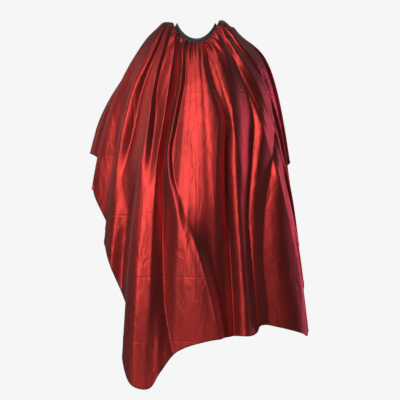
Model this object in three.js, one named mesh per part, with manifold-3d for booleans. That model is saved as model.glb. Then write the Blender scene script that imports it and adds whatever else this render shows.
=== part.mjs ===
// Barber cape: one rectangular satin sheet gathered onto a stiff knitted neckband, slit at the back
// and closed there by a tab with two press studs. Millimetres, +Z up, the wearer faces -Y.
// The origin is the centre of the neck opening. "Turn" is the angle round the neck in degrees:
// 0 at the front, 90 at +X, 180 at the back slit, -90 at -X.
import * as THREE from "three";
import { mergeVertices } from "three/addons/utils/BufferGeometryUtils.js";
import Module from "manifold-3d";

// Overall sizes of the draped sheet.
const spread = 340; // widest reach of the hem to either side
const fall = 1146; // drop of the lowest corner below the neck
const frontReach = 228; // how far the front hangs ahead of the neck
const backReach = 215; // how far the back hem hangs behind it
const clothThickness = 2;

// Neckband.
const neckHalfWidth = 62.5;
const neckHalfDepth = 58;
const bandHeight = 13;
const bandLean = 5.6; // how far the band leans in from its bottom edge to its top edge
const sideRise = 20; // height of the band's bottom edge at the sides of the neck
const frontDrop = 40; // and below the origin at the front
const backDrop = 26; // and at the back
const bandHollow = 1.5; // 2 makes the band's rise even, and less makes its front and back rounder
const liningThickness = 1;
const knitThickness = 2;
const pipingRadius = 1.2;

// Closure.
const hingeTurn = 122; // where the two back flaps fold away from the body of the cape
const bandEndTurn = 179; // the two ends of the band meet at the back
const slitTurn = 177; // the cloth's edges stand a little further apart than the band's
const foldGap = 0.2; // from a fold line to the solids on each side of it
const studCount = 4;
const socketCount = 2;
const firstStudArc = 9; // from the back centre along the band to the first stud
const studPitch = 14;
const flangeRadius = 4;
const flangeThickness = 1;
const studHeadRadius = 1.8;
const studNeckRadius = 1.5;
const studHeight = 1.8;
const socketRadius = 4.2;
const socketBore = 2.9;
const socketHeight = 2.6;
const socketRoof = 0.8;
const capRadius = 4.7;
const capThickness = 1.8;
const postRadius = 0.9;
const postHole = 1.2;
const tabThickness = 2;
const tabHeight = 9.6;
const tabEnd = 9; // tab beyond the centre of its last socket
const tabAnchorTurn = 165;
const tabFoldTurn = 173.5;
const tabFoldGap = 0.2;

// Hem and label.
const hemRadius = 1.3;
const labelThickness = 0.5;

const gap = 0.3; // between touching pieces

const rad = Math.PI / 180;
const lerp = (a, b, k) => a + (b - a) * k;
const smooth = (a, b, v) => THREE.MathUtils.smoothstep(v, a, b);
const up = new THREE.Vector3(0, 0, 1);

const outward = (turn) => new THREE.Vector3(Math.sin(turn * rad), -Math.cos(turn * rad), 0);

// ---------------------------------------------------------------- neckband surface

const slope = bandLean / bandHeight;
const bandInner = 0;
const knitInner = bandInner + liningThickness + gap;
const knitOuter = knitInner + knitThickness;

// Height of the band's bottom edge: high at the sides, low at the front and back.
function bandBottom(turn) {
  const end = Math.abs(turn) < 90 ? -frontDrop : -backDrop;
  const side = 1 - Math.abs(Math.cos(turn * rad)) ** bandHollow;
  return lerp(end, sideRise, side);
}

// A point of the leaning band at a height above its bottom edge and an offset out of its inner face.
function bandPoint(turn, height, offset) {
  const lean = bandLean - slope * height + offset;
  return new THREE.Vector3(
    (neckHalfWidth + lean) * Math.sin(turn * rad),
    -(neckHalfDepth + lean) * Math.cos(turn * rad),
    bandBottom(turn) + height,
  );
}

// Out of the band's outer face, which tips up because the band leans in.
function bandNormal(turn) {
  const round = bandPoint(turn + 0.5, 0, 0).sub(bandPoint(turn - 0.5, 0, 0));
  const rise = bandPoint(turn, bandHeight, 0).sub(bandPoint(turn, 0, 0));
  return round.cross(rise).normalize();
}
const bandRadius = (neckHalfWidth + neckHalfDepth) / 2 + bandLean / 2 + knitOuter;
const turnOfArc = (arc) => arc / bandRadius / rad;

// ---------------------------------------------------------------- cloth surface

// The draped hem, as turn, then reach to the side, to the front or back, and drop, each as a share
// of the overall size it belongs to. It runs from the slit round -X, the front and +X to the slit.
const hem = [
  [-slitTurn, -0.014, 0.98, 0.3],
  [-160, -0.3, 0.99, 0.335],
  [-140, -0.57, 0.88, 0.41],
  [-hingeTurn, 0, 0, 0.49],
  [-111, -0.93, 0.55, 0.375],
  [-101, -0.985, 0.43, 0.34],
  [-94, -0.9, 0.26, 0.375],
  [-85, -0.975, 0.1, 0.447],
  [-77, -0.87, -0.03, 0.524],
  [-72, -0.89, -0.14, 0.567],
  [-67, -0.865, -0.27, 0.606],
  [-58, -0.71, -0.4, 0.711],
  [-51, -0.655, -0.53, 0.77],
  [-44, -0.675, -0.67, 0.835],
  [-38, -0.685, -0.79, 0.92],
  [-33, -0.6, -0.86, 0.99],
  [-29, -0.44, -0.9, 1],
  [-24, -0.34, -0.94, 0.958],
  [-14, -0.18, -0.98, 0.9],
  [0, 0.1, -0.96, 0.868],
  [14, 0.39, -0.94, 0.857],
  [21, 0.6, -0.88, 0.85],
  [27, 0.8, -0.72, 0.838],
  [33, 1.05, -0.5, 0.854],
  [38, 1.03, -0.38, 0.77],
  [46, 0.99, -0.23, 0.65],
  [58, 0.935, -0.09, 0.54],
  [70, 0.895, 0.05, 0.462],
  [80, 0.865, 0.2, 0.405],
  [91, 0.912, 0.38, 0.38],
  [101, 0.885, 0.48, 0.34],
  [111, 0.86, 0.6, 0.375],
  [hingeTurn, 0, 0, 0.49],
  [140, 0.55, 0.88, 0.41],
  [160, 0.29, 0.99, 0.335],
  [slitTurn, 0.014, 0.98, 0.3],
];

// The cloth starts on the outside of the band, just above its bottom edge.
const seamHeight = 1.5;
const seamOffset = knitOuter + gap + clothThickness / 2;
const clothTop = (turn) => bandPoint(turn, seamHeight, seamOffset);

const hemKnots = hem.map(([turn, side, depth, drop]) => {
  if (Math.abs(turn) === hingeTurn) {
    // On the fold lines the cloth carries straight on from the leaning band.
    const top = clothTop(turn);
    return top.addScaledVector(outward(turn), slope * drop * fall).addScaledVector(up, -drop * fall);
  }
  return new THREE.Vector3(spread * side, depth * (depth < 0 ? frontReach : backReach), -fall * drop);
});
const hemCurve = new THREE.CatmullRomCurve3(hemKnots, false, "centripetal");

function clothHem(turn) {
  let i = 0;
  while (i < hem.length - 2 && hem[i + 1][0] < turn) i++;
  const share = (turn - hem[i][0]) / (hem[i + 1][0] - hem[i][0]);
  return hemCurve.getPoint((i + share) / (hem.length - 1));
}

// One thread of the sheet, from the band out over the shoulder or chest and down to the hem.
// From the fold lines to the slit it hangs in a straight line.
function clothPoint(turn, t) {
  const top = clothTop(turn);
  const end = clothHem(turn);
  const round = 1 - smooth(96, hingeTurn, Math.abs(turn));
  const side = Math.sin(turn * rad) ** 2;
  const reach = lerp(50, 150, side) * round;
  const first = top
    .clone()
    .lerp(end, (1 - round) / 3)
    .addScaledVector(outward(turn), reach)
    .addScaledVector(up, -lerp(70, 5, side) * round);
  const across = lerp(2 / 3, 0.8, round);
  const down = lerp(2 / 3, 0.3, round);
  const second = new THREE.Vector3(
    lerp(top.x, end.x, across),
    lerp(top.y, end.y, across),
    lerp(top.z, end.z, down),
  );
  return new THREE.CubicBezierCurve3(top, first, second, end).getPoint(t);
}

// Directions on the sheet: round the neck, and square to the sheet, outwards.
function clothTangent(turn, t, reach = 1) {
  const before = clothPoint(Math.max(turn - reach, -slitTurn), t);
  return clothPoint(Math.min(turn + reach, slitTurn), t).sub(before).normalize();
}

const step = 0.01;
function clothNormal(turn, t) {
  const above = clothPoint(turn, Math.max(t - step, 0));
  const down = clothPoint(turn, Math.min(t + step, 1)).sub(above);
  return down.cross(clothTangent(turn, t)).normalize();
}

// ---------------------------------------------------------------- solid builders

// A closed solid through a row of equal sections. Each section lists one face's points and then,
// in reverse, the other face's, so that its ends close with strips between the two faces.
function loft(sections) {
  const size = sections[0].length;
  const points = sections.flat();
  const faces = [];
  const quad = (a, b, c, d) => faces.push(a, b, c, a, c, d);
  for (let s = 0; s < sections.length - 1; s++)
    for (let k = 0; k < size; k++) {
      const next = (k + 1) % size;
      quad(s * size + k, s * size + next, (s + 1) * size + next, (s + 1) * size + k);
    }
  const last = (sections.length - 1) * size;
  for (let k = 0; k < size / 2 - 1; k++) {
    const other = size - 1 - k;
    quad(k, other, other - 1, k + 1);
    quad(last + k, last + k + 1, last + other - 1, last + other);
  }
  const geometry = new THREE.BufferGeometry().setFromPoints(points);
  geometry.setIndex(faces);
  const flat = geometry.toNonIndexed();
  flat.computeVertexNormals();
  return volume(flat) < 0 ? flipped(flat) : flat;
}

function volume(geometry) {
  const p = geometry.getAttribute("position");
  const [a, b, c] = [0, 1, 2].map(() => new THREE.Vector3());
  let sum = 0;
  for (let i = 0; i < p.count; i += 3) {
    a.fromBufferAttribute(p, i);
    b.fromBufferAttribute(p, i + 1);
    c.fromBufferAttribute(p, i + 2);
    sum += a.dot(b.cross(c));
  }
  return sum / 6;
}

function flipped(geometry) {
  const p = geometry.getAttribute("position");
  const held = new THREE.Vector3();
  const other = new THREE.Vector3();
  for (let i = 0; i < p.count; i += 3) {
    held.fromBufferAttribute(p, i + 1);
    other.fromBufferAttribute(p, i + 2);
    p.setXYZ(i + 1, ...other);
    p.setXYZ(i + 2, ...held);
  }
  geometry.computeVertexNormals();
  return geometry;
}

const range = (from, to, steps) =>
  Array.from({ length: steps + 1 }, (_, i) => lerp(from, to, i / steps));

// A stretch of the sheet between two turns, two heights down the threads and two offsets from its
// middle surface. Where it ends on a fold line, that edge stands back from the line.
function sheet(turns, heights, inner, outer) {
  const sections = turns.map((turn) => {
    const back = Math.abs(Math.abs(turn) - hingeTurn) < 1e-6 ? foldGap : 0;
    const away = turn === turns[0] ? back : -back;
    const face = (offset) =>
      heights.map((t) =>
        clothPoint(turn, t)
          .addScaledVector(clothTangent(turn, t), away)
          .addScaledVector(clothNormal(turn, t), offset),
      );
    return [...face(outer), ...face(inner).reverse()];
  });
  return loft(sections);
}

const bandColumns = (fromTurn, toTurn) =>
  range(fromTurn, toTurn, Math.max(3, Math.round(Math.abs(toTurn - fromTurn) / 4)));

// A stretch of the band between two turns, two heights and two offsets.
function bandStrip(fromTurn, toTurn, low, high, inner, outer) {
  return loft(
    bandColumns(fromTurn, toTurn).map((turn) => [
      bandPoint(turn, low, outer),
      bandPoint(turn, high, outer),
      bandPoint(turn, high, inner),
      bandPoint(turn, low, inner),
    ]),
  );
}

// A turned piece whose profile is radius, height pairs, standing on the band at a turn.
function turned(profile, sides = 16) {
  return new THREE.LatheGeometry(
    profile.map(([r, h]) => new THREE.Vector2(r, h)),
    sides,
  ).rotateX(Math.PI / 2);
}

// ---------------------------------------------------------------- booleans

const wasm = await Module();
wasm.setup();

function solid(geometry) {
  const bare = new THREE.BufferGeometry();
  bare.setAttribute("position", geometry.getAttribute("position").clone());
  if (geometry.index) bare.setIndex(geometry.index);
  const merged = mergeVertices(bare, 1e-3);
  return new wasm.Manifold(
    new wasm.Mesh({
      numProp: 3,
      vertProperties: new Float32Array(merged.getAttribute("position").array),
      triVerts: new Uint32Array(merged.index.array),
    }),
  );
}

function geometryOf(manifold) {
  const mesh = manifold.getMesh();
  const geometry = new THREE.BufferGeometry();
  geometry.setAttribute("position", new THREE.BufferAttribute(mesh.vertProperties, 3));
  geometry.setIndex(new THREE.BufferAttribute(mesh.triVerts, 1));
  const flat = geometry.toNonIndexed();
  flat.computeVertexNormals();
  return flat;
}

const cut = (geometry, tools) =>
  geometryOf(tools.reduce((body, tool) => body.subtract(solid(tool)), solid(geometry)));

// ---------------------------------------------------------------- materials and the group

const finish = (color, roughness, metalness = 0) =>
  new THREE.MeshStandardMaterial({ color, roughness, metalness, side: THREE.DoubleSide });
const satin = finish(0xa82628, 0.35);
const binding = finish(0x1a1718, 0.7);
const knit = finish(0x3c4240, 0.9);
const lining = finish(0x2b2e2d, 0.85);
const webbing = finish(0x232625, 0.8);
const nickel = finish(0xb9b9b6, 0.3, 1);
const labelWhite = finish(0xe8e6e0, 0.7);

const cape = new THREE.Group();

function add(name, geometry, material, place) {
  const mesh = new THREE.Mesh(geometry, material);
  mesh.name = name;
  if (place) {
    mesh.position.copy(place.position);
    mesh.quaternion.copy(place.quaternion);
  }
  cape.add(mesh);
  return mesh;
}

// Where a fastener part stands: its own +Z points out of the band at this turn.
const tabLow = bandHeight - tabHeight;
const fastenerHeight = tabLow + tabHeight / 2;
function seat(turn, offset) {
  const normal = bandNormal(turn);
  const position = bandPoint(turn, fastenerHeight, knitOuter).addScaledVector(normal, offset);
  const quaternion = new THREE.Quaternion().setFromUnitVectors(up, normal);
  return { position, quaternion };
}

// ---------------------------------------------------------------- the sheet

const half = clothThickness / 2;
const bodyColumns = 72;
const bodyTurns = range(-hingeTurn, hingeTurn, bodyColumns);
const flapTurns = range(hingeTurn, slitTurn, 12);
const clothHeights = (from, to, rows = 12) => range(0, 1, rows).map((k) => lerp(from, to, k ** 1.25));

function addSheet() {
  const heights = clothHeights(0, 1);
  const leftTurns = flapTurns.map((turn) => -turn).reverse();
  add("cape_body", sheet(bodyTurns, heights, -half, half), satin);
  add("cape_left_flap", sheet(leftTurns, heights, -half, half), satin);
  add("cape_right_flap", sheet(flapTurns, heights, -half, half), satin);
}

// The rolled hem lies just beyond the sheet's edge, and turns up the slit on each flap. A station is
// a place on the edge with the direction out of the sheet and the sheet's normal there.
const hemStandOff = hemRadius + gap;
function hemStation(turn) {
  const normal = clothNormal(turn, 1);
  const run = clothTangent(turn, 1, 0.5);
  return { point: clothPoint(turn, 1), out: run.cross(normal).normalize(), normal };
}

function slitStation(side, t) {
  const turn = side * slitTurn;
  return {
    point: clothPoint(turn, t),
    out: clothTangent(turn, t).multiplyScalar(side),
    normal: clothNormal(turn, t),
  };
}

function edgeTube(stations) {
  const corners = range(30, 390, 6).slice(0, -1);
  return loft(
    stations.map(({ point, out, normal }) =>
      corners.map((a) =>
        point
          .clone()
          .addScaledVector(out, hemStandOff + hemRadius * Math.cos(a * rad))
          .addScaledVector(normal, hemRadius * Math.sin(a * rad)),
      ),
    ),
  );
}

function flapHem(side) {
  const along = flapTurns.map((turn) => hemStation(side * turn));
  along[0].point.addScaledVector(clothTangent(side * hingeTurn, 1), side * foldGap);
  const upSlit = clothHeights(0.01, 1).reverse().map((t) => slitStation(side, t));
  const corner = along.pop();
  corner.out.add(upSlit.shift().out);
  return [...along, corner, ...upSlit];
}

function addHem() {
  const front = bodyTurns.map(hemStation);
  front[0].point.addScaledVector(clothTangent(-hingeTurn, 1), foldGap);
  front[bodyColumns].point.addScaledVector(clothTangent(hingeTurn, 1), -foldGap);
  add("hem_body", edgeTube(front), binding);
  add("hem_left_flap", edgeTube(flapHem(-1)), binding);
  add("hem_right_flap", edgeTube(flapHem(1)), binding);
}

function addLabel() {
  const inside = -half - gap;
  const turns = range(-160, -138, 4);
  const label = sheet(turns, clothHeights(0.045, 0.1, 2), inside - labelThickness, inside);
  add("care_label", label, labelWhite);
}

// ---------------------------------------------------------------- the neckband

const foldTurn = turnOfArc(foldGap);
const bandParts = [
  ["body", -hingeTurn + foldTurn, hingeTurn - foldTurn],
  ["left_end", -bandEndTurn, -hingeTurn - foldTurn],
  ["right_end", hingeTurn + foldTurn, bandEndTurn],
];
const studTurns = Array.from(
  { length: studCount },
  (_, i) => -180 + turnOfArc(firstStudArc + i * studPitch),
);

function postTools(turns, length) {
  return turns.map((turn) => {
    const tool = turned([
      [0, -length],
      [postHole, -length],
      [postHole, length],
      [0, length],
    ]);
    const { position, quaternion } = seat(turn, 0);
    return tool.applyQuaternion(quaternion).translate(...position);
  });
}

// The cord along the band's top edge.
function pipingCord(fromTurn, toTurn) {
  const height = bandHeight + gap + pipingRadius;
  const offset = knitOuter / 2 - slope * gap;
  const corners = range(0, 2 * Math.PI, 6).slice(0, -1);
  return loft(
    bandColumns(fromTurn, toTurn).map((turn) =>
      corners.map((a) =>
        bandPoint(turn, height + pipingRadius * Math.sin(a), offset + pipingRadius * Math.cos(a)),
      ),
    ),
  );
}

function addNeckband() {
  for (const [part, from, to] of bandParts) {
    const holes = part === "left_end" ? postTools(studTurns, 10) : [];
    const outer = bandStrip(from, to, 0, bandHeight, knitInner, knitOuter);
    const inner = bandStrip(from, to, 0, bandHeight, bandInner, bandInner + liningThickness);
    add("neckband_knit_" + part, cut(outer, holes), knit);
    add("neckband_lining_" + part, cut(inner, holes), lining);
    add("neckband_piping_" + part, pipingCord(from, to), binding);
  }
}

// ---------------------------------------------------------------- press studs

const flangeSeat = gap;
const studTop = flangeSeat + flangeThickness + studHeight;
const socketSeat = flangeSeat + flangeThickness + gap;
const tabSeat = socketSeat + socketHeight + gap;
const capSeat = tabSeat + tabThickness + gap;
const bandDepth = knitOuter - bandInner;
const eyeletThickness = 1;

// Stud: a flange on the band's outer face with a necked head that snaps into the socket. It is
// hollow from behind, so that the eyelet's post rivets into it.
function studGeometry() {
  const lip = flangeSeat + flangeThickness;
  const pocket = 1;
  return turned([
    [postRadius + gap, flangeSeat],
    [flangeRadius, flangeSeat],
    [flangeRadius, lip - 0.3],
    [flangeRadius - 0.5, lip],
    [studNeckRadius, lip],
    [studNeckRadius, lip + studHeight * 0.5],
    [studHeadRadius, lip + studHeight * 0.7],
    [studHeadRadius - 0.2, studTop],
    [0, studTop],
    [0, flangeSeat + pocket],
    [postRadius + gap, flangeSeat + pocket],
    [postRadius + gap, flangeSeat],
  ]);
}

// Eyelet: a flat cap against the neck with a post through both layers of the band into the stud.
function eyeletGeometry() {
  const face = -bandDepth - gap - 0.2;
  return turned([
    [0, face - eyeletThickness],
    [flangeRadius - 0.6, face - eyeletThickness],
    [flangeRadius, face - eyeletThickness / 2],
    [flangeRadius, face],
    [postRadius, face],
    [postRadius, flangeSeat + 0.7],
    [0, flangeSeat + 0.7],
  ]);
}

function socketGeometry() {
  const top = socketSeat + socketHeight;
  const roof = top - socketRoof;
  return turned([
    [socketBore, socketSeat],
    [socketRadius, socketSeat],
    [socketRadius, roof],
    [socketRadius - 0.7, top],
    [postRadius + gap, top],
    [postRadius + gap, roof],
    [socketBore, roof],
    [socketBore, socketSeat],
  ]);
}

// Cap: a shallow dome on the tab with a post through it into the socket.
function capGeometry() {
  const dome = range(0, 90, 5).map((a) => [
    capRadius * Math.cos(a * rad),
    capSeat + 0.5 + (capThickness - 0.5) * Math.sin(a * rad),
  ]);
  dome[dome.length - 1][0] = 0;
  const postEnd = tabSeat - gap - socketRoof * 0.6;
  return turned([
    [0, postEnd],
    [postRadius, postEnd],
    [postRadius, capSeat],
    [capRadius, capSeat],
    ...dome,
  ]);
}

function addStuds() {
  studTurns.forEach((turn, i) => {
    add("stud_" + (i + 1), studGeometry(), nickel, seat(turn, 0));
    add("stud_eyelet_" + (i + 1), eyeletGeometry(), nickel, seat(turn, 0));
  });
}

// ---------------------------------------------------------------- the closure tab

// The tab lies on the right end of the band where it is sewn down, and rises over the fastened
// studs of the left end. Turns run on past 180 here.
const socketTurns = studTurns.slice(0, socketCount).map((turn) => turn + 360);
const tabLastTurn = socketTurns[socketCount - 1] + turnOfArc(tabEnd);

function tabStrip(fromTurn, toTurn, columns, inner) {
  const bottom = (turn) => tabLow + roundEnd(turn);
  const top = (turn) => tabLow + tabHeight - roundEnd(turn);
  return loft(
    range(fromTurn, toTurn, columns).map((turn) => {
      const low = bottom(turn);
      const high = top(turn);
      const lift = inner(turn);
      return [
        bandFace(turn, low, lift + tabThickness),
        bandFace(turn, high, lift + tabThickness),
        bandFace(turn, high, lift),
        bandFace(turn, low, lift),
      ];
    }),
  );
}

// A point above the band's outer face, square to it.
const bandFace = (turn, height, lift) =>
  bandPoint(turn, height, knitOuter).addScaledVector(bandNormal(turn), lift);

// How much the tab narrows towards its rounded tip.
function roundEnd(turn) {
  const radius = tabHeight / 2;
  const left = (tabLastTurn - turn) * rad * bandRadius;
  if (left >= radius) return 0;
  const reach = radius - Math.max(left, 0.6);
  return radius - Math.sqrt(radius ** 2 - reach ** 2);
}

const tabLift = (turn) => lerp(gap, tabSeat, smooth(tabFoldTurn, socketTurns[0] - turnOfArc(socketRadius), turn));

function addTab() {
  const foldShare = turnOfArc(tabFoldGap);
  const anchor = tabStrip(tabAnchorTurn, tabFoldTurn - foldShare, 4, () => gap);
  add("tab_anchor", anchor, webbing);
  const strap = tabStrip(tabFoldTurn + foldShare, tabLastTurn, 24, tabLift);
  const holes = socketTurns.map((turn) => {
    const { position, quaternion } = seat(turn, tabSeat);
    const tool = turned([
      [0, -2],
      [postHole, -2],
      [postHole, tabThickness + 2],
      [0, tabThickness + 2],
    ]);
    return tool.applyQuaternion(quaternion).translate(...position);
  });
  add("closure_tab", cut(strap, holes), webbing);
  socketTurns.forEach((turn, i) => {
    add("socket_" + (i + 1), socketGeometry(), nickel, seat(turn, 0));
    add("socket_cap_" + (i + 1), capGeometry(), nickel, seat(turn, 0));
  });
}

addSheet();
addHem();
addLabel();
addNeckband();
addStuds();
addTab();

export default cape;
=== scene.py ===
"""Looks of the barber cape: a draped satin sheet with a rolled hem, gathered onto a ribbed knit neckband
that closes at the back with a webbing tab and press studs.

Metres, +Z up, the wearer faces -Y. A "turn" is an angle round the neck in degrees: 0 at the front,
90 at +X, 180 at the back slit. "Down" is the share of a thread from the neckband (0) to the hem (1).
Left and right are as seen from the front, so right is +X.
"""

import math

import bpy
import numpy as np
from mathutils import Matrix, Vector


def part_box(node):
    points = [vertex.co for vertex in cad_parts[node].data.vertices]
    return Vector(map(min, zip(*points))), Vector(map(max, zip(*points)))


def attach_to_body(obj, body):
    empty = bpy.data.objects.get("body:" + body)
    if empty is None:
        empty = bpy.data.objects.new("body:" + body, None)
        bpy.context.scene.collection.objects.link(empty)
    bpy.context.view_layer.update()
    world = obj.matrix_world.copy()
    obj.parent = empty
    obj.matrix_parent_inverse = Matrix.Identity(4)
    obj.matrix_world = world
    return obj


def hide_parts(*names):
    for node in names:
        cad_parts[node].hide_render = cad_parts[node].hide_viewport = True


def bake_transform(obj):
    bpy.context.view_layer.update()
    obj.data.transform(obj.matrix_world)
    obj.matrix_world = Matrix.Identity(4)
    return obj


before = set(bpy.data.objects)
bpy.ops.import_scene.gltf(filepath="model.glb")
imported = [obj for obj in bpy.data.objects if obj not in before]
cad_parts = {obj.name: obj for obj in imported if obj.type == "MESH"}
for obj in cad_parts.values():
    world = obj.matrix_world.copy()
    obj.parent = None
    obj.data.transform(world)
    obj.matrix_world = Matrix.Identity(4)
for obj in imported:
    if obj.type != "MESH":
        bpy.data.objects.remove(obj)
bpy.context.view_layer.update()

MM = 0.001

# ---------------------------------------------------------------- sizes, from the CAD nodes

lining_low, lining_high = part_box("neckband_lining_body")
hem_low, hem_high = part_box("hem_body")
flap_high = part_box("cape_left_flap")[1]

BAND_HEIGHT = 13 * MM
BAND_LEAN = 5.6 * MM
LINING = 1 * MM
GAP = 0.3 * MM
KNIT_INNER = LINING + GAP
KNIT_OUTER = KNIT_INNER + 2 * MM
NECK_HALF_WIDTH = lining_high.x - BAND_LEAN - LINING
NECK_HALF_DEPTH = NECK_HALF_WIDTH - 4.5 * MM
SIDE_RISE = lining_high.z - BAND_HEIGHT
FRONT_DROP = -lining_low.z
BACK_DROP = -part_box("neckband_lining_right_end")[0].z
BAND_HOLLOW = 1.5  # how round the band's front and back are, seen from the front

# How far the CAD's hem and back flap reach, as shares of the sizes below them.
HEM_WIDTH_SHARE = 2.0586
HEM_DROP_SHARE = 1.0041
HEM_FRONT_SHARE = 0.9866
FLAP_BACK_SHARE = 0.9987

SPREAD = (hem_high.x - hem_low.x) / HEM_WIDTH_SHARE
FALL = -hem_low.z / HEM_DROP_SHARE
FRONT_REACH = -hem_low.y / HEM_FRONT_SHARE
BACK_REACH = flap_high.y / FLAP_BACK_SHARE

HINGE_TURN = 122.0  # where the CAD's flaps fold away from the body
SPLIT_TURN = 108.0  # where each flap's pieces meet the pieces of the body
SLIT_TURN = 177.0
BAND_END_TURN = 179.0
SLOPE = BAND_LEAN / BAND_HEIGHT

# The draped hem: turn, then reach to the side, to the front or back, and drop, each as a share of
# SPREAD, FRONT_REACH or BACK_REACH, and FALL. A row of two zeros lies on a fold line.
HEM = [
    (-177, -.014, .98, .3), (-160, -.3, .99, .335), (-140, -.57, .88, .41), (-122, 0, 0, .49),
    (-111, -.93, .55, .375), (-101, -1.04, .43, .345), (-94, -.92, .26, .375), (-85, -1.01, .1, .455),
    (-77, -.87, -.03, .524), (-72, -.89, -.14, .567), (-67, -.865, -.27, .606),
    (-58, -.71, -.4, .711), (-51, -.655, -.53, .77), (-44, -.675, -.67, .835),
    (-38, -.685, -.79, .92), (-33, -.6, -.86, .99), (-29, -.44, -.9, 1), (-24, -.34, -.94, .958),
    (-14, -.18, -.98, .9), (0, .1, -.96, .868), (14, .39, -.94, .857), (19.5, .56, -.9, .853),
    (21, .6, -.88, .832), (27, .8, -.72, .838), (32, 1.02, -.53, .858), (33, 1.055, -.5, .866),
    (34.5, 1.05, -.46, .83), (38, 1.03, -.38, .77), (46, .99, -.23, .65),
    (58, .935, -.09, .54), (70, .895, .05, .462), (80, .865, .2, .405), (91, .912, .38, .38),
    (101, .885, .48, .34), (111, .86, .6, .375), (122, 0, 0, .49), (140, .55, .88, .41),
    (160, .29, .99, .335), (177, .014, .98, .3),
]
HEM_TURNS = np.array([row[0] for row in HEM], float)


def lerp(a, b, share):
    return a + (b - a) * share


def smooth(low, high, value):
    share = np.clip((np.asarray(value, float) - low) / (high - low), 0, 1)
    return share * share * (3 - 2 * share)


def unit(vectors):
    return vectors / np.maximum(np.linalg.norm(vectors, axis=-1, keepdims=True), 1e-12)


def outward(turn):
    angle = np.radians(turn)
    return np.stack([np.sin(angle), -np.cos(angle), 0 * angle], -1)


# ---------------------------------------------------------------- the neckband's surface


def band_bottom(turn):
    end = np.where(np.abs(turn) < 90, -FRONT_DROP, -BACK_DROP)
    return lerp(end, SIDE_RISE, 1 - np.abs(np.cos(np.radians(turn))) ** BAND_HOLLOW)


def band_point(turn, height, offset):
    """A point of the leaning band: height above its bottom edge, offset out of its inner face."""
    turn, height, offset = np.broadcast_arrays(*(np.asarray(v, float) for v in (turn, height, offset)))
    lean = BAND_LEAN - SLOPE * height + offset
    angle = np.radians(turn)
    x = (NECK_HALF_WIDTH + lean) * np.sin(angle)
    y = -(NECK_HALF_DEPTH + lean) * np.cos(angle)
    return np.stack([x, y, band_bottom(turn) + height], -1)


def band_normal(turn):
    turn = np.asarray(turn, float)
    around = band_point(turn + 0.5, 0, 0) - band_point(turn - 0.5, 0, 0)
    rise = band_point(turn, BAND_HEIGHT, 0) - band_point(turn, 0, 0)
    return unit(np.cross(around, rise))


# ---------------------------------------------------------------- the sheet's middle surface

SEAM_HEIGHT = 1.5 * MM
SEAM_OFFSET = KNIT_OUTER + GAP + 1 * MM

# How far a thread runs outwards from the band, and sinks, before it turns down: at the front and sides.
LEAVE_FRONT, LEAVE_SIDE = 50 * MM, 150 * MM
SINK_FRONT, SINK_SIDE = 70 * MM, 5 * MM
STRAIGHT_TURN = 96  # from here to the fold line the threads straighten


def cloth_top(turn):
    return band_point(turn, SEAM_HEIGHT, SEAM_OFFSET)


def hem_knots():
    knots = []
    for turn, side, depth, drop in HEM:
        if abs(turn) == HINGE_TURN:
            knot = cloth_top(turn) + outward(turn) * SLOPE * drop * FALL - np.array([0, 0, drop * FALL])
        else:
            reach = FRONT_REACH if depth < 0 else BACK_REACH
            knot = np.array([SPREAD * side, depth * reach, -FALL * drop])
        knots.append(knot)
    first = 2 * knots[0] - knots[1]
    last = 2 * knots[-1] - knots[-2]
    return np.array([first, *knots, last])


KNOTS = hem_knots()


def cloth_hem(turn):
    """The hem at a turn, on a centripetal Catmull-Rom curve through the knots."""
    i = np.clip(np.searchsorted(HEM_TURNS, turn, side="left") - 1, 0, len(HEM) - 2)
    share = ((turn - HEM_TURNS[i]) / (HEM_TURNS[i + 1] - HEM_TURNS[i]))[..., None]
    p = [KNOTS[i + k] for k in range(4)]
    gaps = [np.sqrt(np.linalg.norm(p[k + 1] - p[k], axis=-1, keepdims=True)) for k in range(3)]
    a, b, c = gaps
    leave = ((p[1] - p[0]) / a - (p[2] - p[0]) / (a + b) + (p[2] - p[1]) / b) * b
    arrive = ((p[2] - p[1]) / b - (p[3] - p[1]) / (b + c) + (p[3] - p[2]) / c) * b
    square, cube = share**2, share**3
    return (
        (2 * cube - 3 * square + 1) * p[1]
        + (cube - 2 * square + share) * leave
        + (3 * square - 2 * cube) * p[2]
        + (cube - square) * arrive
    )


def cloth_point(turn, down):
    """One thread of the sheet, from the band out over the shoulder or chest and down to the hem."""
    turn, down = np.broadcast_arrays(np.asarray(turn, float), np.asarray(down, float))
    top, end = cloth_top(turn), cloth_hem(turn)
    rounded = 1 - smooth(STRAIGHT_TURN, HINGE_TURN, np.abs(turn))
    side = np.sin(np.radians(turn)) ** 2
    reach = lerp(LEAVE_FRONT, LEAVE_SIDE, side) * rounded
    sink = lerp(SINK_FRONT, SINK_SIDE, side) * rounded
    first = lerp(top, end, ((1 - rounded) / 3)[..., None]) + outward(turn) * reach[..., None]
    first[..., 2] -= sink
    share = np.stack([lerp(2 / 3, 0.8, rounded)] * 2 + [lerp(2 / 3, 0.3, rounded)], -1)
    second = lerp(top, end, share)
    t = down[..., None]
    s = 1 - t
    return s**3 * top + 3 * s * s * t * first + 3 * s * t * t * second + t**3 * end


# ---------------------------------------------------------------- folds of the front

# Rows at which the fold lines are given, as shares of FALL below the neck.
ROWS = np.array([0, .05, .15, .26, .36, .50, .64, .78, .92])

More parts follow.
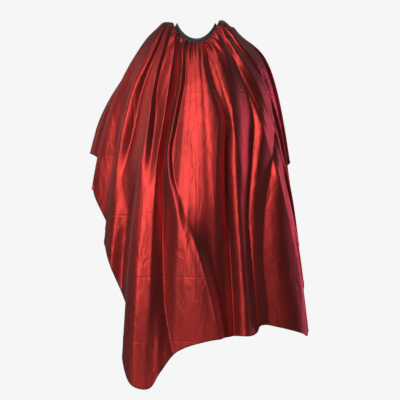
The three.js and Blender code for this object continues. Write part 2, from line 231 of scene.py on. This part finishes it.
# Each fold line of the front, from left to right: its distance across as shares of SPREAD at
# those rows, its height in millimetres towards the viewer, and how sharp it is.
FOLDS = [
    ((-.32, -.42, -.655, -.775, -.87, -.915, -.925, -.93, -.94), (3, 6, 12, 16, 10, -8, -12, -14, -14), 0),
    ((-.285, -.36, -.51, -.60, -.70, -.775, -.82, -.84, -.86), (-4, -6, -8, -9, -6, 2, 2, 0, -4), .4),
    ((-.255, -.31, -.41, -.455, -.51, -.64, -.70, -.71, -.73), (4, 6, 8, 12, 8, -8, -14, -14, -14), .3),
    ((-.225, -.275, -.36, -.385, -.42, -.485, -.53, -.555, -.58), (-4, -6, -6, -5, 0, 10, 15, 16, 12), .3),
    ((-.19, -.205, -.25, -.30, -.355, -.385, -.41, -.43, -.475), (5, 8, 10, 12, 12, 12, 15, 16, 13), .4),
    ((-.15, -.16, -.18, -.25, -.305, -.31, -.31, -.29, -.20), (-6, -9, -12, -14, -18, -22, -22, -20, -16), .8),
    ((-.11, -.12, -.14, -.21, -.265, -.18, -.03, .10, .17), (4, 5, 4, 3, 4, 12, 24, 28, 20), .2),
    ((-.09, -.095, -.105, -.17, -.225, -.13, .04, .18, .26), (1, 0, -3, -6, -4, 10, 29, 32, 20), 1),
    ((.02, .045, .11, .21, .20, .18, .17, .24, .31), (8, 12, 20, 28, 30, 24, -2, -12, -12), 0),
    ((.065, .09, .165, .285, .28, .29, .32, .345, .36), (-5, -9, -10, -8, -16, -28, -38, -38, -32), 1),
    ((.15, .25, .34, .36, .375, .40, .43, .46, .48), (4, 8, 12, 14, 12, 6, 0, 0, -2), 0),
    ((.19, .31, .46, .55, .53, .49, .51, .55, .57), (-5, -8, -14, -26, -30, -32, -32, -32, -28), .8),
    ((.23, .37, .60, .66, .62, .575, .58, .62, .64), (5, 6, 4, -2, -8, -18, -26, -30, -28), 0),
    ((.27, .44, .68, .76, .73, .65, .62, .66, .68), (-4, -6, -6, -12, -18, -26, -34, -36, -32), .8),
    ((.32, .50, .74, .82, .83, .83, .862, .945, 1.0), (4, 6, 8, 6, 6, 6, 8, 12, 14), 0),
    ((.38, .58, .84, .90, .93, .97, 1.0, 1.05, 1.08), (0, 0, 0, -4, -4, -2, 0, 0, 0), .5),
]
CREASE_SLOPE = 1.6  # of a sharp fold, against the mean slope to the next line
LINE_SPACING = 0.012  # the least distance between two fold lines, as a share of SPREAD


def through(x, knots, values):
    """A smooth curve through values at rising knots, held level outside them."""
    knots, values = np.asarray(knots, float), np.asarray(values, float)
    slopes = np.gradient(values, knots)
    x = np.clip(x, knots[0], knots[-1])
    i = np.clip(np.searchsorted(knots, x) - 1, 0, len(knots) - 2)
    gap = knots[i + 1] - knots[i]
    u = (x - knots[i]) / gap
    return ease(u, values[i], values[i + 1], slopes[i] * gap, slopes[i + 1] * gap)


def ease(u, start, end, leave, arrive):
    """Cubic Hermite from start to end with those slopes."""
    return (
        (2 * u**3 - 3 * u**2 + 1) * start
        + (u**3 - 2 * u**2 + u) * leave
        + (3 * u**2 - 2 * u**3) * end
        + (u**3 - u**2) * arrive
    )


def front_relief(across, drop):
    """Height of the front's folds, in metres, at shares of SPREAD across and of FALL below the neck."""
    lines = np.array([through(drop, ROWS, places) for places, _, _ in FOLDS])
    heights = np.array([through(drop, ROWS, tall) for _, tall, _ in FOLDS]) * MM
    for k in range(1, len(lines)):
        lines[k] = np.maximum(lines[k], lines[k - 1] + LINE_SPACING)
    sharp = np.array([s for _, _, s in FOLDS])
    k = np.clip((across[None] > lines).sum(0) - 1, 0, len(FOLDS) - 2)
    pick = np.arange(across.size)
    left, right = lines[k, pick], lines[k + 1, pick]
    u = np.clip((across - left) / (right - left), 0, 1)
    start, end = heights[k, pick], heights[k + 1, pick]
    rise = (end - start) * CREASE_SLOPE
    return ease(u, start, end, rise * sharp[k], rise * sharp[k + 1])


# ---------------------------------------------------------------- rolls of cloth on the shoulders

# The sheet bunches up in rolls beside the band. For the right (+X) and left shoulder: distance from
# the neck's middle, and height above the plain shoulder there, both in millimetres.
SHOULDERS = {
    1: (
        (64, 76, 92, 104, 116, 126, 140, 160, 191, 222, 250),
        (12, 20, 22, 15, 8, 8, -3, -12, -12, -4, 0),
    ),
    -1: (
        (64, 78, 94, 110, 131, 163, 192, 220, 253, 300, 345),
        (8, 14, 18, 19, 7, -10, -28, -41, -48, -32, 0),
    ),
}


def shoulder_lift(points, turn):
    """How far the rolls lift the sheet, in metres."""
    reach = np.hypot(points[..., 0], points[..., 1])
    window = smooth(30, 68, np.abs(turn)) * (1 - smooth(100, 118, np.abs(turn)))
    lift = 0 * turn
    for side, (places, heights) in SHOULDERS.items():
        roll = through(reach, np.array(places) * MM, np.array(heights) * MM)
        lift = np.where(np.sign(turn) == side, roll, lift)
    return lift * window


# ---------------------------------------------------------------- the sheet, with its folds

COLUMNS = 640
ROWS_DOWN = 190
SHEET_THICKNESS = 0.7 * MM
PUCKER, PLEAT, RIPPLE, FLUTE = 2.2, 2.6, 0.6, 9  # heights of the smaller folds, in millimetres


def waves(turn, seed, periods, strengths):
    """Irregular waves round the neck, between about -1 and 1."""
    draw = np.random.default_rng(seed)
    total = 0 * turn
    for period, strength in zip(periods, strengths):
        drift = 0.8 * np.sin(np.radians(turn) * draw.uniform(2, 5) + draw.uniform(0, 6))
        total = total + strength * np.cos(2 * math.pi * turn / period + drift * 2 + draw.uniform(0, 6))
    return total


def surface_normals(points):
    """Outward normals of a grid of points whose rows run round the neck and columns run down."""
    around = np.gradient(points, axis=0)
    below = np.gradient(points, axis=1)
    return unit(np.cross(below, around))


def even_turns(count):
    """Turns whose columns are about evenly spaced on the hem as well as at the band."""
    fine = np.linspace(-SLIT_TURN, SLIT_TURN, 4001)
    hem = cloth_hem(fine)
    length = np.concatenate([[0], np.cumsum(np.linalg.norm(np.diff(hem, axis=0), axis=1))])
    mixed = 0.6 * length / length[-1] + 0.4 * (fine - fine[0]) / (fine[-1] - fine[0])
    turns = np.interp(np.linspace(0, 1, count), mixed, fine)
    for special in (-SPLIT_TURN, SPLIT_TURN):
        turns[np.abs(turns - special).argmin()] = special
    return turns


def neck_gathers(turn, down):
    """Short puckers under the band and longer pleats below them, flatter over the shoulders."""
    puckers = waves(turn, 5, (4.6, 7.7, 12.7), (0.5, 0.6, 0.7))
    puckers = puckers * smooth(0, 0.008, down) * (1 - smooth(0.015, 0.06, down))
    pleats = waves(turn, 7, (9.5, 14.0), (0.8, 0.7))
    pleats = pleats * smooth(0, 0.02, down) * (1 - smooth(0.06, 0.26, down))
    flatter = 1 - 0.75 * smooth(40, 65, np.abs(turn))
    return (PUCKER * puckers + PLEAT * pleats) * MM * flatter


def front_ripples(turn, down):
    """Faint long ripples over the facets of the front."""
    ripples = waves(turn + 6 * down, 3, (4.7, 7.9, 12.1), (0.3, 0.5, 0.8))
    return RIPPLE * MM * ripples * smooth(0.08, 0.3, down) * (np.abs(turn) < 100)


def back_flutes(turn, down, facing):
    """Flutes where the sheet faces sideways or back, none on the fold lines or at the slit."""
    flutes = waves(turn, 11, (9.0, 13.0, 6.1), (0.7, 0.5, 0.25)) * FLUTE * MM
    away = smooth(2, 11, np.abs(np.abs(turn) - HINGE_TURN)) * smooth(0, 5, SLIT_TURN - np.abs(turn))
    return flutes * (1 - facing) * away * smooth(0.02, 0.6, down)


def make_sheet():
    """Turns, downs and the points of the folded sheet."""
    turns = even_turns(COLUMNS)
    downs = np.linspace(0, 1, ROWS_DOWN) ** 1.2
    turn, down = np.meshgrid(turns, downs, indexing="ij")
    base = cloth_point(turn, down)
    normal = surface_normals(base)

    facing = smooth(0.05, 0.5, -normal[..., 1]) * (np.abs(turn) < 100)
    held = smooth(0, 0.03, down)  # the band holds the sheet's top edge in place
    relief = front_relief(base[..., 0].ravel() / SPREAD, -base[..., 2].ravel() / FALL)
    relief = relief.reshape(turn.shape) * facing * held

    lift = neck_gathers(turn, down) + front_ripples(turn, down) + back_flutes(turn, down, facing)
    points = base + normal * lift[..., None]
    points[..., 1] -= relief
    points[..., 2] += shoulder_lift(base, turn) * smooth(0, 0.01, down)
    return turns, downs, points


def cloth_mesh(name, points, normals, materials):
    """A thin closed sheet round a grid of points, both faces shaded by the grid's normals."""
    rows, columns = points.shape[:2]
    half = SHEET_THICKNESS / 2
    layers = [points + normals * half, points - normals * half]
    vertices = np.concatenate([layer.reshape(-1, 3) for layer in layers])
    index = np.arange(rows * columns).reshape(rows, columns)
    outer_faces = np.stack([index[:-1, :-1], index[:-1, 1:], index[1:, 1:], index[1:, :-1]], -1)
    outer_faces = outer_faces.reshape(-1, 4)
    inner_faces = outer_faces[:, ::-1] + rows * columns
    loop = np.concatenate([index[0, ::-1], index[1:, 0], index[-1, 1:], index[-2:0:-1, -1]])
    following = np.roll(loop, -1)
    rim = np.stack([loop, following, following + rows * columns, loop + rows * columns], -1)
    faces = np.concatenate([outer_faces, inner_faces, rim])
    mesh = bpy.data.meshes.new(name)
    mesh.from_pydata(vertices.tolist(), [], faces.tolist())
    for material in materials:
        mesh.materials.append(material)
    count = len(outer_faces)
    kind = np.concatenate([np.zeros(count), np.ones(count), np.zeros(len(rim))]).astype(np.int32)
    mesh.polygons.foreach_set("material_index", kind)
    mesh.polygons.foreach_set("use_smooth", np.ones(len(faces), bool))
    mesh.update()
    flat = normals.reshape(-1, 3)
    corner_normals = np.concatenate(
        [flat[outer_faces], -flat[inner_faces - rows * columns], rim_normals(vertices, rim)]
    )
    mesh.normals_split_custom_set(corner_normals.reshape(-1, 3).tolist())
    return linked(name, mesh)


def rim_normals(vertices, rim):
    corner = vertices[rim[:, 0]]
    side = np.cross(vertices[rim[:, 1]] - corner, vertices[rim[:, 3]] - corner)
    return np.repeat(unit(side)[:, None], 4, axis=1)


def linked(name, data):
    piece = bpy.data.objects.new(name, data)
    bpy.context.scene.collection.objects.link(piece)
    return piece


def plain_mesh(name, vertices, faces, material):
    mesh = bpy.data.meshes.new(name)
    faces = [tuple(int(i) for i in face) for face in faces]
    mesh.from_pydata(np.asarray(vertices).tolist(), [], faces)
    mesh.materials.append(material)
    mesh.polygons.foreach_set("use_smooth", np.ones(len(mesh.polygons), bool))
    mesh.update()
    return linked(name, mesh)


def swept(name, sections, material):
    """A closed mesh through rings of points, all with the same number, capped at both ends."""
    count, size = sections.shape[:2]
    index = np.arange(count * size).reshape(count, size)
    following = np.roll(index, -1, axis=1)
    sides = np.stack([index[:-1], following[:-1], following[1:], index[1:]], -1).reshape(-1, 4)
    faces = sides.tolist() + [index[0, ::-1].tolist(), index[-1].tolist()]
    return plain_mesh(name, sections.reshape(-1, 3), faces, material)


# ---------------------------------------------------------------- materials


class Nodes:
    """A short way to write a material's nodes."""

    def __init__(self, name):
        self.material = bpy.data.materials.new(name)
        self.material.use_nodes = True
        self.tree = self.material.node_tree
        self.shader = self.tree.nodes["Principled BSDF"]

    def add(self, kind, **inputs):
        node = self.tree.nodes.new("ShaderNode" + kind)
        for key, value in inputs.items():
            self.put(node.inputs[key.replace("_", " ")], value)
        return node

    def put(self, socket, value):
        if isinstance(value, bpy.types.NodeSocket):
            self.tree.links.new(value, socket)
        else:
            socket.default_value = value

    def set(self, **inputs):
        for key, value in inputs.items():
            self.put(self.shader.inputs[key.replace("_", " ")], value)

    def place(self, scale):
        where = self.add("TexCoord")
        mapping = self.add("Mapping", Vector=where.outputs["Object"], Scale=scale)
        return mapping.outputs["Vector"]

    def noise(self, scale, detail=3.0, stretch=(1, 1, 1), distortion=0.0):
        node = self.add("TexNoise", Vector=self.place(stretch), Scale=scale, Detail=detail)
        node.inputs["Distortion"].default_value = distortion
        return node.outputs["Fac"]

    def ramp(self, value, stops):
        node = self.add("ValToRGB", Fac=value)
        elements = node.color_ramp.elements
        elements[0].position, elements[0].color = stops[0][0], (*stops[0][1], 1)
        elements[1].position, elements[1].color = stops[-1][0], (*stops[-1][1], 1)
        for position, color in stops[1:-1]:
            elements.new(position).color = (*color, 1)
        return node.outputs["Color"]

    def packing_creases(self, pitch):
        """Thin lines up and across, where the sheet was folded flat in its packet."""
        lines = []
        for direction in ("X", "Z"):
            where = self.place((1, 1, 1))
            wave = self.add("TexWave", Vector=where, Scale=math.pi / (10 * pitch), Distortion=0.6)
            wave.bands_direction = direction
            lines.append(self.ramp(wave.outputs["Fac"], [(0.0, (0, 0, 0)), (0.004, (1, 1, 1))]))
        both = self.add("Math")
        both.operation = "MULTIPLY"
        self.put(both.inputs[0], lines[0])
        self.put(both.inputs[1], lines[1])
        return both.outputs["Value"]

    def bump(self, height, strength, distance, under=None):
        node = self.add("Bump", Height=height, Strength=strength, Distance=distance)
        if under is not None:
            self.put(node.inputs["Normal"], under)
        return node.outputs["Normal"]


def satin_material(name, light, deep, roughness, metallic):
    n = Nodes(name)
    mottled = n.noise(9, 4, (1, 1, 0.35), 0.6)
    n.set(Base_Color=n.ramp(mottled, [(0.35, deep), (0.62, light)]))
    weave = n.noise(1400, 2, (1, 1, 3))
    crumple = n.noise(26, 5, (1, 1, 0.45), 0.8)
    soft = n.bump(crumple, 0.5, 6 * MM)
    creased = n.bump(n.packing_creases(0.2), 0.25, 1.0 * MM, soft)
    n.set(Normal=n.bump(weave, 0.08, 0.3 * MM, creased))
    n.set(Roughness=roughness, Metallic=metallic, Anisotropic=0.35)
    n.set(Sheen_Weight=0.55, Sheen_Roughness=0.5, Sheen_Tint=(0.45, 0.38, 0.35, 1))
    return n.material


def fabric_material(name, light, deep, scale, bump):
    n = Nodes(name)
    grain = n.noise(scale, 3)
    n.set(Base_Color=n.ramp(grain, [(0.35, deep), (0.65, light)]), Roughness=0.85)
    n.set(Normal=n.bump(grain, 0.5, bump), Sheen_Weight=0.15)
    return n.material


def metal_material(name):
    n = Nodes(name)
    scuffs = n.noise(420, 4)
    n.set(Base_Color=n.ramp(scuffs, [(0.3, (0.55, 0.54, 0.52)), (0.7, (0.75, 0.74, 0.72))]))
    n.set(Metallic=1.0)
    n.set(Roughness=n.ramp(scuffs, [(0.3, (0.2,) * 3), (0.7, (0.38,) * 3)]))
    n.set(Normal=n.bump(scuffs, 0.15, 0.1 * MM))
    return n.material


SATIN = satin_material("satin", (0.53, 0.041, 0.036), (0.38, 0.034, 0.030), 0.41, 1.0)
SATIN_BACK = satin_material("satin_wrong_side", (0.30, 0.018, 0.018), (0.22, 0.012, 0.014), 0.6, 0.25)
BINDING = fabric_material("overlock_thread", (0.035, 0.028, 0.030), (0.010, 0.008, 0.009), 1500, 0.3 * MM)
KNIT = fabric_material("rib_knit", (0.060, 0.068, 0.066), (0.028, 0.032, 0.031), 1100, 0.3 * MM)
LINING_CLOTH = fabric_material("band_lining", (0.04, 0.043, 0.042), (0.02, 0.022, 0.021), 1600, 0.2 * MM)
WEBBING = fabric_material("webbing", (0.032, 0.035, 0.038), (0.014, 0.016, 0.017), 1300, 0.3 * MM)
NICKEL = metal_material("nickel")
THREAD = fabric_material("sewing_thread", (0.075, 0.075, 0.078), (0.03, 0.03, 0.032), 2500, 0.1 * MM)
LABEL = fabric_material("label_weave", (0.80, 0.78, 0.73), (0.66, 0.64, 0.60), 1500, 0.2 * MM)

# ---------------------------------------------------------------- the sheet's pieces

turns, downs, sheet_points = make_sheet()
sheet_normals = surface_normals(sheet_points)
first_split = int(np.abs(turns + SPLIT_TURN).argmin())
second_split = int(np.abs(turns - SPLIT_TURN).argmin())
SPANS = {
    "left": slice(0, first_split + 1),
    "body": slice(first_split, second_split + 1),
    "right": slice(second_split, len(turns)),
}


def cloth_piece(part, name):
    span = SPANS[part]
    return cloth_mesh(name, sheet_points[span], sheet_normals[span], [SATIN, SATIN_BACK])


cape_front = cloth_piece("body", "cape_front")
cape_right = cloth_piece("right", "cape_right_back")
cape_left = cloth_piece("left", "cape_left_back")

# ---------------------------------------------------------------- hem

HEM_HALF_WIDTH = 1.7 * MM
HEM_HALF_DEPTH = 1.0 * MM


def hem_tube(name, edge, normals, beyond):
    """The rolled hem along an edge of the sheet; beyond points out of the sheet."""
    angles = np.linspace(0, 2 * math.pi, 9)[:-1]
    centre = edge + beyond * HEM_HALF_WIDTH * 0.7
    sections = (
        centre[:, None]
        + beyond[:, None] * (HEM_HALF_WIDTH * np.cos(angles))[None, :, None]
        + normals[:, None] * (HEM_HALF_DEPTH * np.sin(angles))[None, :, None]
    )
    return swept(name, sections, BINDING)


def hem_piece(part, name):
    """The hem of one part of the sheet: along its bottom, and up the slit on the two back parts."""
    span = SPANS[part]
    points, normals = sheet_points[span], sheet_normals[span]
    edge, over = points[:, -1], normals[:, -1]
    run = np.gradient(edge, axis=0)
    beyond = unit(np.cross(run, over))
    if part == "body":
        return hem_tube(name, edge, over, beyond)
    if part == "left":
        slit, slit_normals, neighbour = points[0], normals[0], points[1]
        edge, over, beyond = edge[::-1], over[::-1], beyond[::-1]
    else:
        slit, slit_normals, neighbour = points[-1], normals[-1], points[-2]
    slit_beyond = unit(slit - neighbour)
    up_slit = slice(-2, 2, -1)  # from the corner to just below the band
    corner = unit(beyond[-1] + slit_beyond[-1])
    path = np.concatenate([edge, slit[up_slit]])
    path_over = np.concatenate([over, slit_normals[up_slit]])
    path_beyond = np.concatenate([beyond[:-1], corner[None], slit_beyond[up_slit]])
    return hem_tube(name, path, path_over, path_beyond)


hem_front = hem_piece("body", "hem_front")
hem_right = hem_piece("right", "hem_right_back")
hem_left = hem_piece("left", "hem_left_back")

# ---------------------------------------------------------------- neckband

RIB_PITCH = 1.5 * MM
RIB_DEPTH = 0.22 * MM
band_radius = (NECK_HALF_WIDTH + NECK_HALF_DEPTH) / 2 + BAND_LEAN / 2 + KNIT_OUTER
BAND_SPANS = {
    "left": (-BAND_END_TURN, -SPLIT_TURN),
    "body": (-SPLIT_TURN, SPLIT_TURN),
    "right": (SPLIT_TURN, BAND_END_TURN),
}


def rounded_section(low, high, inner, outer, radius, steps=4):
    """Heights and offsets round a rounded rectangle."""
    centres = [(low + radius, outer - radius), (high - radius, outer - radius)]
    centres += [(high - radius, inner + radius), (low + radius, inner + radius)]
    starts = (-90, 0, 90, 180)
    ring = []
    for (height, offset), start in zip(centres, starts):
        for a in np.radians(np.linspace(start, start + 90, steps)):
            ring.append((height + radius * math.sin(a), offset + radius * math.cos(a)))
    return np.array(ring)


def band_strip(name, part, ring, material, rib=0.0):
    """A strip of the band with the given section, and ribs of a given depth on its outer face."""
    start, end = BAND_SPANS[part]
    per_rib = 5 if rib else 1
    pitch = RIB_PITCH if rib else 4 * MM
    columns = int(math.radians(end - start) * band_radius / pitch) * per_rib
    turn = np.linspace(start, end, columns + 1)[:, None]
    outer = ring[:, 1].max()
    ribbed = rib * (0.5 - 0.5 * np.cos(turn / (end - start) * columns / per_rib * 2 * math.pi))
    on_face = smooth(outer - 1.2 * MM, outer, ring[:, 1])[None]
    offset = ring[:, 1][None] - ribbed * on_face
    sections = band_point(turn, ring[:, 0][None] + 0 * turn, offset)
    return swept(name, sections[:, ::-1], material)


KNIT_CORNER = 0.95 * MM
LINING_CORNER = 0.45 * MM
PIPING_CORNER = 1.19 * MM
PIPING_LOW = BAND_HEIGHT + GAP
PIPING_HIGH = PIPING_LOW + 2.4 * MM
PIPING_INNER, PIPING_OUTER = 0.3 * MM, 2.7 * MM

knit_ring = rounded_section(0, BAND_HEIGHT, KNIT_INNER, KNIT_OUTER, KNIT_CORNER)
lining_ring = rounded_section(0, BAND_HEIGHT, 0, LINING, LINING_CORNER, 3)
piping_ring = rounded_section(PIPING_LOW, PIPING_HIGH, PIPING_INNER, PIPING_OUTER, PIPING_CORNER)

NODE_ENDS = {"left": "left_end", "body": "body", "right": "right_end"}
band_pieces = {}
for part, suffix in NODE_ENDS.items():
    band_pieces["knit", part] = band_strip("band_knit_" + suffix, part, knit_ring, KNIT, RIB_DEPTH)
    band_pieces["lining", part] = band_strip("band_lining_" + suffix, part, lining_ring, LINING_CLOTH)
    band_pieces["piping", part] = band_strip("band_piping_" + suffix, part, piping_ring, BINDING)

# ---------------------------------------------------------------- closure tab and label

TAB_HEIGHT = 9.6 * MM
TAB_LOW = BAND_HEIGHT - TAB_HEIGHT
TAB_THICKNESS = 1.9 * MM
TAB_START = 165.0
TAB_FOLD = 173.5
SOCKET_TURNS = (187.77, 199.86)
SOCKET_REACH = 3.6  # from a socket's middle to its rim, in degrees of turn
TAB_SEAT = 4.5 * MM  # the strap's inner face over the fastened sockets
TIP_REACH = 7.77  # from the last socket's middle to the strap's tip, in degrees of turn
TAB_END = SOCKET_TURNS[1] + TIP_REACH
TIP_TURN = 3.0  # how much of the strap's end has its sections close together
STITCH_START = TAB_START + 1.2
STITCH_BOX_END = TAB_FOLD - 1.6
STITCH_END = TAB_END - 4.5
STITCH_INSET = 1.1 * MM  # from the strap's edges


def band_face(turn, height, lift):
    """A point above the band's outer face, square to it."""
    return band_point(turn, height, KNIT_OUTER) + band_normal(turn) * np.asarray(lift)[..., None]


def tab_lift(turn):
    return lerp(GAP, TAB_SEAT, smooth(TAB_FOLD, SOCKET_TURNS[0] - SOCKET_REACH, turn))


def tab_half_height(turn):
    """Half the strap's height, rounded off at its tip."""
    left = np.radians(TAB_END - turn) * band_radius
    radius = TAB_HEIGHT / 2
    short = np.clip(radius - left, 0, radius * 0.98)
    return np.sqrt(radius**2 - short**2)


def make_tab():
    straight = np.linspace(TAB_START, TAB_END - TIP_TURN, 60)
    tip = TAB_END - TIP_TURN * np.linspace(1, 0, 14)[1:] ** 1.6
    middle = TAB_LOW + TAB_HEIGHT / 2
    corner = 0.28 * TAB_THICKNESS
    sections = []
    for turn in np.concatenate([straight, tip]):
        half = float(tab_half_height(turn))
        radius = min(corner, half * 0.6)
        ring = rounded_section(middle - half, middle + half, 0, TAB_THICKNESS, radius)
        lift = float(tab_lift(turn)) + ring[:, 1]
        sections.append(band_face(np.full(len(ring), turn), ring[:, 0], lift))
    return swept("closure_strap", np.array(sections)[:, ::-1], WEBBING)


def stitch_row(points, normals, length, radius):
    """Vertices and faces of short raised stitches along a row of points, one between each pair."""
    vertices, faces = [], []
    for a, b, normal in zip(points[:-1], points[1:], normals):
        run = unit(b - a)
        across = np.cross(normal, run)
        middle = (a + b) / 2
        start = len(vertices)
        for share, swell in ((-0.5, 0.25), (-0.3, 1), (0.3, 1), (0.5, 0.25)):
            for angle in np.radians((0, 60, 120, 180, 240, 300)):
                spread = across * math.cos(angle) + normal * math.sin(angle)
                vertices.append(middle + run * length * share + spread * radius * swell)
        for ring in range(3):
            for k in range(6):
                low = start + ring * 6
                faces.append((low + k, low + (k + 1) % 6, low + 6 + (k + 1) % 6, low + 6 + k))
        faces.append(tuple(start + k for k in range(5, -1, -1)))
        faces.append(tuple(start + 18 + k for k in range(6)))
    return vertices, faces


def stitches(name, rows, material, length=1.5 * MM, radius=0.28 * MM):
    """One piece of all the stitches along the given rows of points and normals."""
    vertices, faces = [], []
    for points, normals in rows:
        more, sides = stitch_row(points, normals, length, radius)
        faces += [tuple(i + len(vertices) for i in face) for face in sides]
        vertices += more
    return plain_mesh(name, vertices, faces, material)


def tab_stitches():
    """Two rows along the strap, and a box of stitches where it is sewn to the band."""
    rows = []
    middle = TAB_LOW + TAB_HEIGHT / 2
    along = np.linspace(STITCH_START, STITCH_END, 24)
    for side in (-1, 1):
        height = middle + side * (TAB_HEIGHT / 2 - STITCH_INSET)
        points = band_face(along, np.full(len(along), height), tab_lift(along) + TAB_THICKNESS)
        rows.append((points, band_normal(along)))
    heights = np.linspace(TAB_LOW + STITCH_INSET, BAND_HEIGHT - STITCH_INSET, 5)
    for turn in (STITCH_START, STITCH_BOX_END):
        level = np.full(len(heights), turn)
        points = band_face(level, heights, tab_lift(level) + TAB_THICKNESS)
        rows.append((points, band_normal(level)))
    return stitches("strap_stitches", rows, THREAD)


tab = make_tab()
tab_thread = tab_stitches()

SEAM_PITCH = 3.2 * MM
SEAM_LINE = 3.4 * MM  # above the band's bottom edge


def seam_stitches(part):
    """The row that joins the sheet's gathered edge to the band's bottom edge."""
    start, end = BAND_SPANS[part]
    count = int(math.radians(end - start) * band_radius / SEAM_PITCH)
    along = np.linspace(start + 0.5, end - 0.5, count)
    points = band_point(along, SEAM_LINE, KNIT_OUTER)
    return stitches("band_seam_" + part, [(points, band_normal(along))], THREAD, 2.1 * MM, 0.3 * MM)


seams = {part: seam_stitches(part) for part in BAND_SPANS}

LABEL_TURNS = (-160, -138)
LABEL_DOWNS = (0.045, 0.1)
LABEL_DEPTH = 1.0 * MM  # of the label's middle under the sheet's middle


def make_label():
    """A blank woven label inside the left back of the sheet, near the band."""
    columns = np.flatnonzero((turns >= LABEL_TURNS[0]) & (turns <= LABEL_TURNS[1]))
    rows = np.flatnonzero((downs >= LABEL_DOWNS[0]) & (downs <= LABEL_DOWNS[1]))
    patch = np.ix_(columns, rows)
    normals = sheet_normals[patch]
    points = sheet_points[patch] - normals * LABEL_DEPTH
    return cloth_mesh("care_label_patch", points, normals, [LABEL, LABEL])


label = make_label()

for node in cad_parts.values():
    if node.name.startswith(("stud", "socket")):
        node.data.materials.clear()
        node.data.materials.append(NICKEL)

# ---------------------------------------------------------------- bodies and what is replaced


def bend_round(piece, body, joint):
    """Bakes the piece's placement into its mesh."""
    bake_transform(piece)


FLAPS = {"right": ("right_flap", "right_flap_fold"), "left": ("left_flap", "left_flap_fold")}


def attach(piece, part, slot, *nodes):
    if part == "body":
        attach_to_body(piece, "root")
    else:
        bend_round(piece, *FLAPS[part])
    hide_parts(*nodes)


attach(cape_front, "body", "satin", "cape_body")
attach(cape_right, "right", "satin", "cape_right_flap")
attach(cape_left, "left", "satin", "cape_left_flap")
attach(hem_front, "body", "binding", "hem_body")
attach(hem_right, "right", "binding", "hem_right_flap")
attach(hem_left, "left", "binding", "hem_left_flap")
for (kind, part), piece in band_pieces.items():
    slot = {"knit": "knit", "lining": "lining", "piping": "binding"}[kind]
    attach(piece, part, slot, f"neckband_{kind}_{NODE_ENDS[part]}")

for part, piece in seams.items():
    attach(piece, part, "binding")
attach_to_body(label, "left_flap")
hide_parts("care_label")

for piece, slot in ((tab, "webbing"), (tab_thread, "binding")):
    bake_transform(piece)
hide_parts("tab_anchor", "closure_tab")

# ---------------------------------------------------------------- studio

FIELD = 1.298  # width of the view where the cape hangs
CAMERA_DISTANCE = 3.7
AIM = Vector((0.013, -0.1, -0.484 * FALL))
FLOOR_REACH = 12.0
FLOOR_LEVEL = -1.5
BACKDROP = (0.92, 0.92, 0.92, 1)
WORLD_FILL = (0.075, 0.075, 0.08, 1)


def look_at(thing, place, target):
    thing.location = place
    thing.rotation_mode = "QUATERNION"
    thing.rotation_quaternion = (Vector(target) - Vector(place)).to_track_quat("-Z", "Y")


def make_camera():
    data = bpy.data.cameras.new("camera")
    data.sensor_width = 36
    data.lens = 36 * CAMERA_DISTANCE / FIELD
    camera = linked("camera", data)
    look_at(camera, AIM + Vector((0, -CAMERA_DISTANCE, 0)), AIM)
    bpy.context.scene.camera = camera


def area_light(name, place, size, power, color=(1, 1, 1)):
    data = bpy.data.lights.new(name, "AREA")
    data.shape = "RECTANGLE"
    data.size, data.size_y = size
    data.energy = power
    data.color = color
    look_at(linked(name, data), place, AIM)


def make_world():
    world = bpy.data.worlds.new("studio")
    bpy.context.scene.world = world
    world.use_nodes = True
    tree = world.node_tree
    seen = tree.nodes["Background"]
    seen.inputs["Color"].default_value = BACKDROP
    fill = tree.nodes.new("ShaderNodeBackground")
    fill.inputs["Color"].default_value = WORLD_FILL
    path = tree.nodes.new("ShaderNodeLightPath")
    mix = tree.nodes.new("ShaderNodeMixShader")
    tree.links.new(path.outputs["Is Camera Ray"], mix.inputs[0])
    tree.links.new(fill.outputs[0], mix.inputs[1])
    tree.links.new(seen.outputs[0], mix.inputs[2])
    tree.links.new(mix.outputs[0], tree.nodes["World Output"].inputs["Surface"])


def make_floor():
    n = Nodes("pale_floor")
    n.set(Base_Color=(0.85, 0.85, 0.85, 1), Roughness=0.9)
    emit = n.add("Emission", Color=BACKDROP, Strength=1.0)
    path = n.add("LightPath")
    mix = n.add("MixShader")
    n.tree.links.new(path.outputs["Is Camera Ray"], mix.inputs[0])
    n.tree.links.new(n.shader.outputs[0], mix.inputs[1])
    n.tree.links.new(emit.outputs[0], mix.inputs[2])
    n.tree.links.new(mix.outputs[0], n.tree.nodes["Material Output"].inputs["Surface"])
    signs = ((-1, -1), (1, -1), (1, 1), (-1, 1))
    corners = [(x * FLOOR_REACH, y * FLOOR_REACH, FLOOR_LEVEL) for x, y in signs]
    plain_mesh("floor", corners, [(0, 1, 2, 3)], n.material)


bpy.context.scene.view_settings.view_transform = "Standard"
make_camera()
make_world()
make_floor()
area_light("key", (-1.9, -2.9, 0.6), (0.9, 2.8), 62)
area_light("overhead", (-1.5, -1.3, 2.1), (1.2, 1.2), 11)
area_light("fill", (2.9, 1.1, -0.2), (0.8, 2.0), 26, (0.75, 0.45, 0.85))
area_light("rim_left", (-2.6, 0.6, 0.6), (0.8, 1.6), 6)
